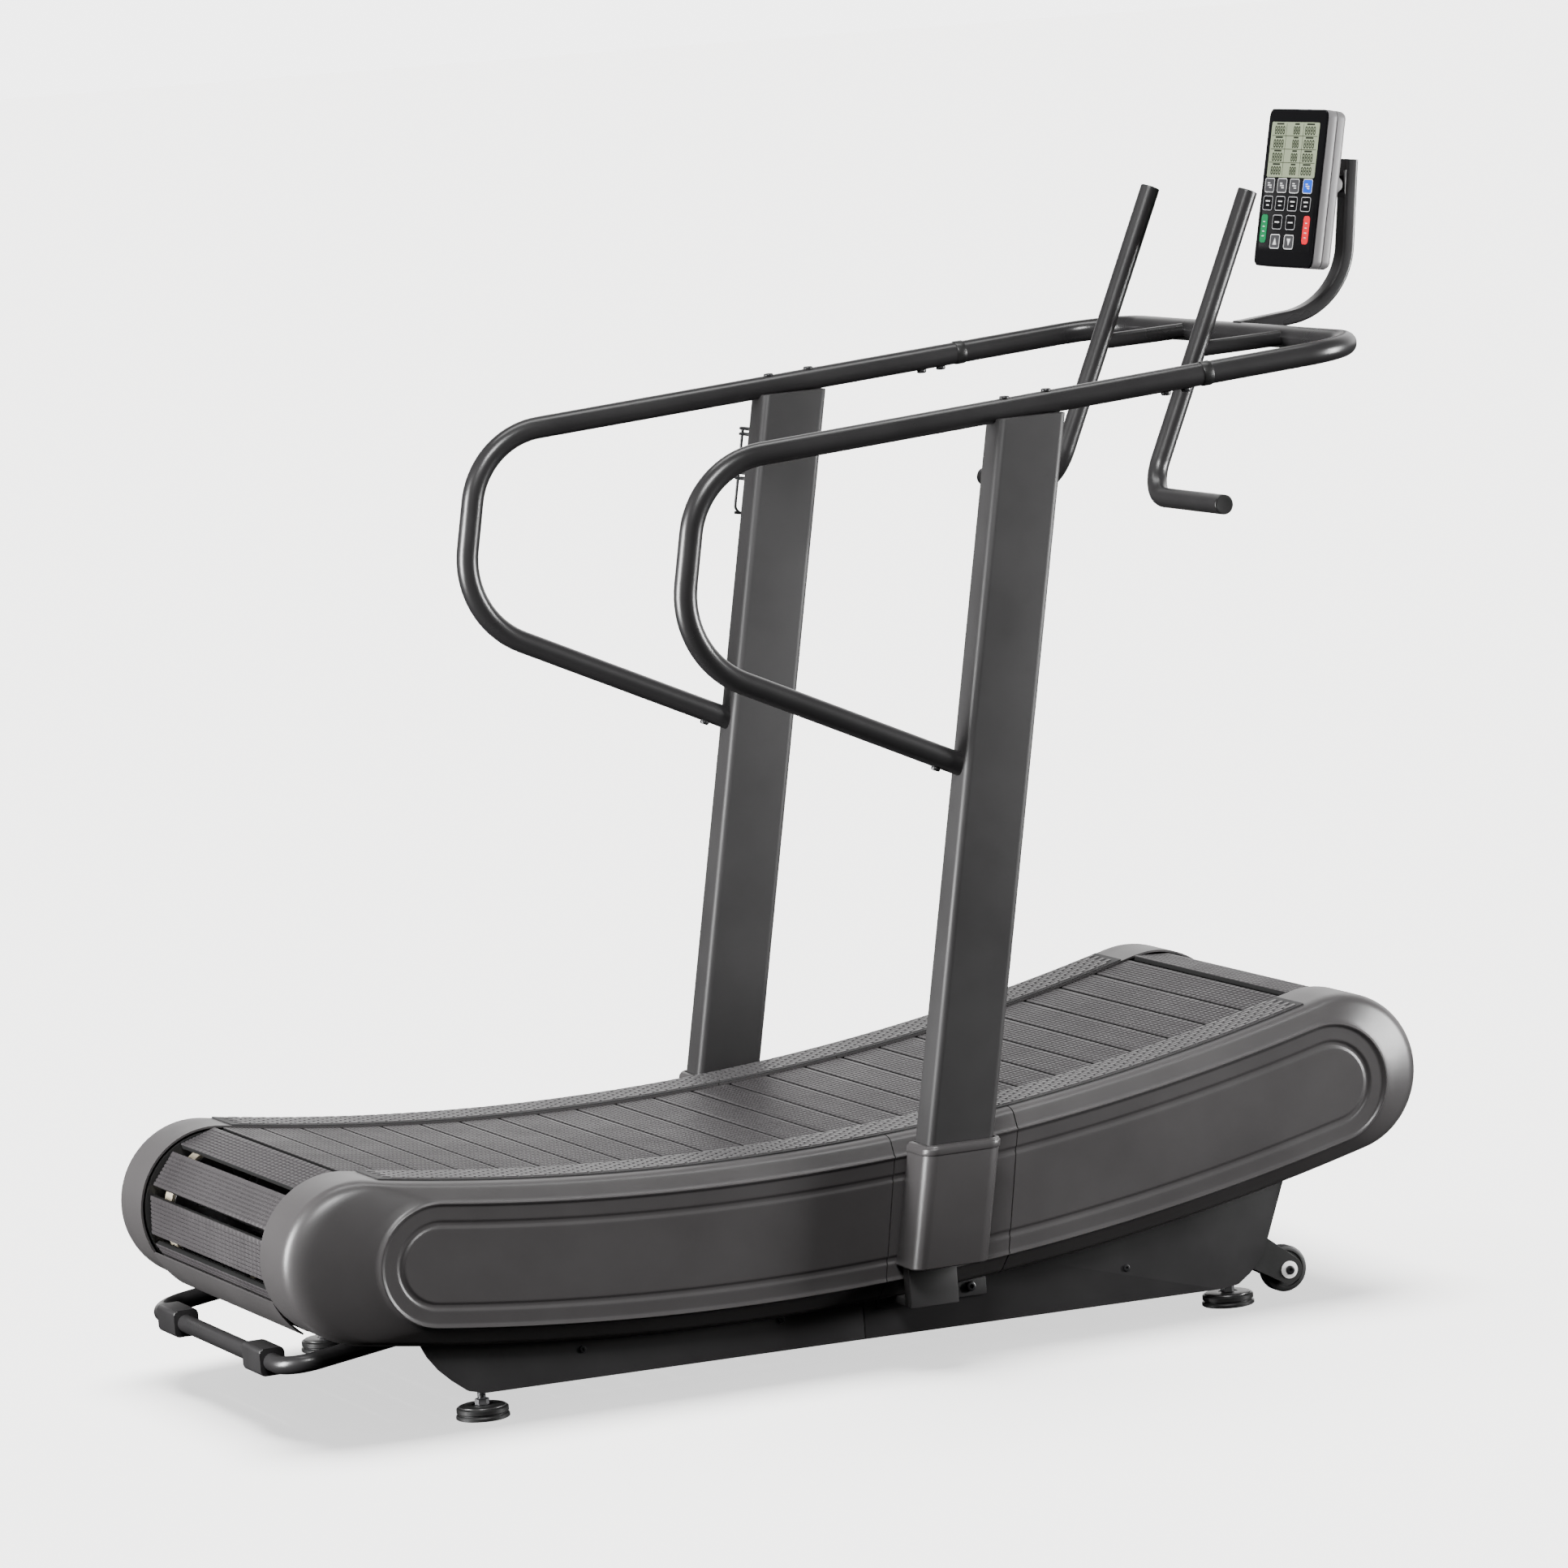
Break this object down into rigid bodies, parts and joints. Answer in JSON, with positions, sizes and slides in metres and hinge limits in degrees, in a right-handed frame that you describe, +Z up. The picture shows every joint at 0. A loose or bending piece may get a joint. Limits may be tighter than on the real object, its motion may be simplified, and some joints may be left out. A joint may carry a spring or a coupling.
{
  "type": "curved manual treadmill",
  "caption": "Curved manual treadmill: slat belt on a concave deck, leaning uprights, looped handrails, pull bars, tilting console, bottle cage, feet and wheels.",
  "frame": {"origin": "on the floor under the machine, on its middle plane, midway between the two belt shafts", "axes": "+X forward to the console, +Y to the runner's left, +Z up"},
  "size_m": [1.8789, 1.0111, 1.6502],
  "materials": {
    "graphite_paint": "satin powder coat",
    "black_paint": "satin black paint",
    "skirt_paint": "matte charcoal powder coat",
    "cover_plastic": "fine-grained matte dark grey",
    "strip_rubber": "raised anti-slip dashes",
    "slat_rubber": "fine-ribbed black rubber",
    "belt_rubber": "cream polyurethane",
    "steel": "zinc-plated steel",
    "black_plastic": "moulded black",
    "wheel_rubber": "black rubber on a hub",
    "silver_plastic": "silver-grey moulded shell",
    "lens_gloss": "glossy black",
    "lcd_panel": "green-grey display",
    "key_film": "printed membrane film"
  },
  "bodies": {
    "frame": {"side_frame_right": "black_paint", "side_frame_left": "black_paint", "cross_members": "graphite_paint", "skirt_right": "skirt_paint", "skirt_left": "skirt_paint", "rear_cover_right": "cover_plastic", "rear_cover_left": "cover_plastic", "centre_cover_right": "cover_plastic", "centre_cover_left": "cover_plastic", "front_cover_right": "cover_plastic", "front_cover_left": "cover_plastic", "tread_strip_right": "strip_rubber", "tread_strip_left": "strip_rubber", "boot_right": "cover_plastic", "boot_left": "cover_plastic", "upright_right": "graphite_paint", "upright_left": "graphite_paint", "handrail_right": "graphite_paint", "handrail_left": "graphite_paint", "front_loop": "graphite_paint", "pull_bar_right": "graphite_paint", "pull_bar_left": "graphite_paint", "bar_plugs": "black_plastic", "console_stalk": "graphite_paint", "console_bracket": "graphite_paint", "bottle_cage": "black_paint", "bearing_blocks": "graphite_paint", "deck_bearings": "steel", "drive_belts": "belt_rubber", "axle_bolts": "steel", "rear_handle": "graphite_paint", "handle_blocks": "skirt_paint", "rear_panel": "cover_plastic", "rail_bolts": "steel", "skirt_screws": "black_plastic", "locknuts": "steel"},
    "console_head": {"console_back": "silver_plastic", "console_front": "silver_plastic", "console_lens": "lens_gloss", "lcd": "lcd_panel", "keypad": "key_film"},
    "belt_top": {"slats_top": "slat_rubber"},
    "front_drum": {"front_shaft": "steel", "front_pulleys": "steel"},
    "rear_drum": {"rear_shaft": "steel", "rear_pulleys": "steel"},
    "belt_front": {"slats_front": "slat_rubber"},
    "belt_return": {"slats_return": "slat_rubber"},
    "belt_rear": {"slats_rear": "slat_rubber"},
    "cross_front_top": {"slat_front_top": "slat_rubber"},
    "cross_front_low": {"slat_front_low": "slat_rubber"},
    "cross_rear_low": {"slat_rear_low": "slat_rubber"},
    "cross_rear_top": {"slat_rear_top": "slat_rubber"},
    "foot_rr": {"foot_rear_right": "black_plastic"},
    "foot_rl": {"foot_rear_left": "black_plastic"},
    "foot_fr": {"foot_front_right": "black_plastic"},
    "foot_fl": {"foot_front_left": "black_plastic"},
    "wheel_r": {"wheel_right": "wheel_rubber"},
    "wheel_l": {"wheel_left": "wheel_rubber"}
  },
  "joints": [
    {"name": "belt_run", "type": "hinge", "parent": "frame", "child": "belt_top", "pos_m": [-0.16828, 0, 3.80686], "axis": [0, 1, 0], "range_deg": [0, 0.97671]},
    {"name": "front_drum_turn", "type": "hinge", "parent": "frame", "child": "front_drum", "pos_m": [0.725, 0, 0.305], "axis": [0, -1, 0], "range_deg": [0, 34.68]},
    {"name": "rear_drum_turn", "type": "hinge", "parent": "frame", "child": "rear_drum", "pos_m": [-0.725, 0, 0.236], "axis": [0, -1, 0], "range_deg": [0, 34.68]},
    {"name": "belt_front_turn", "type": "hinge", "parent": "frame", "child": "belt_front", "pos_m": [0.725, 0, 0.305], "axis": [0, -1, 0], "range_deg": [0, 34.68]},
    {"name": "belt_rear_turn", "type": "hinge", "parent": "frame", "child": "belt_rear", "pos_m": [-0.725, 0, 0.236], "axis": [0, -1, 0], "range_deg": [0, 34.68]},
    {"name": "belt_return_slide", "type": "slide", "parent": "frame", "child": "belt_return", "axis": [0.9989, 0, 0.0475], "range_m": [0, 0.05992]},
    {"name": "cross_front_top_turn", "type": "hinge", "parent": "frame", "child": "cross_front_top", "pos_m": [0.73533, 0, 0.20039], "axis": [0, -1, 0], "range_deg": [0, 16.85]},
    {"name": "cross_front_low_turn", "type": "hinge", "parent": "frame", "child": "cross_front_low", "pos_m": [0.50984, 0, 4.21179], "axis": [0, -1, 0], "range_deg": [0, 0.85589]},
    {"name": "cross_rear_low_turn", "type": "hinge", "parent": "frame", "child": "cross_rear_low", "pos_m": [-0.71904, 0, 0.26895], "axis": [0, -1, 0], "range_deg": [0, 25.97]},
    {"name": "cross_rear_top_turn", "type": "hinge", "parent": "frame", "child": "cross_rear_top", "pos_m": [-0.72261, 0, 0.20617], "axis": [0, -1, 0], "range_deg": [0, 26.69]},
    {"name": "console_tilt", "type": "hinge", "parent": "frame", "child": "console_head", "pos_m": [0.986, 0, 1.538], "axis": [0, 1, 0], "range_deg": [-15, 20]},
    {"name": "foot_rr_level", "type": "slide", "parent": "frame", "child": "foot_rr", "axis": [0, 0, -1], "range_m": [0, 0.015]},
    {"name": "foot_rl_level", "type": "slide", "parent": "frame", "child": "foot_rl", "axis": [0, 0, -1], "range_m": [0, 0.015]},
    {"name": "foot_fr_level", "type": "slide", "parent": "frame", "child": "foot_fr", "axis": [0, 0, -1], "range_m": [0, 0.015]},
    {"name": "foot_fl_level", "type": "slide", "parent": "frame", "child": "foot_fl", "axis": [0, 0, -1], "range_m": [0, 0.015]},
    {"name": "wheel_r_spin", "type": "hinge", "parent": "frame", "child": "wheel_r", "pos_m": [0.638, -0.324, 0.04], "axis": [0, 1, 0], "continuous": true},
    {"name": "wheel_l_spin", "type": "hinge", "parent": "frame", "child": "wheel_l", "pos_m": [0.638, 0.324, 0.04], "axis": [0, 1, 0], "continuous": true}
  ],
  "couplings": [
    {"joint": "front_drum_turn", "follows": "belt_run", "ratio": 35.505},
    {"joint": "rear_drum_turn", "follows": "belt_run", "ratio": 35.505},
    {"joint": "belt_front_turn", "follows": "belt_run", "ratio": 35.505},
    {"joint": "belt_rear_turn", "follows": "belt_run", "ratio": 35.505},
    {"joint": "belt_return_slide", "follows": "belt_run", "m_per_rad": 3.515},
    {"joint": "cross_front_top_turn", "follows": "belt_run", "ratio": 17.253},
    {"joint": "cross_front_low_turn", "follows": "belt_run", "ratio": 0.87619},
    {"joint": "cross_rear_low_turn", "follows": "belt_run", "ratio": 26.588},
    {"joint": "cross_rear_top_turn", "follows": "belt_run", "ratio": 27.322}
  ]
}
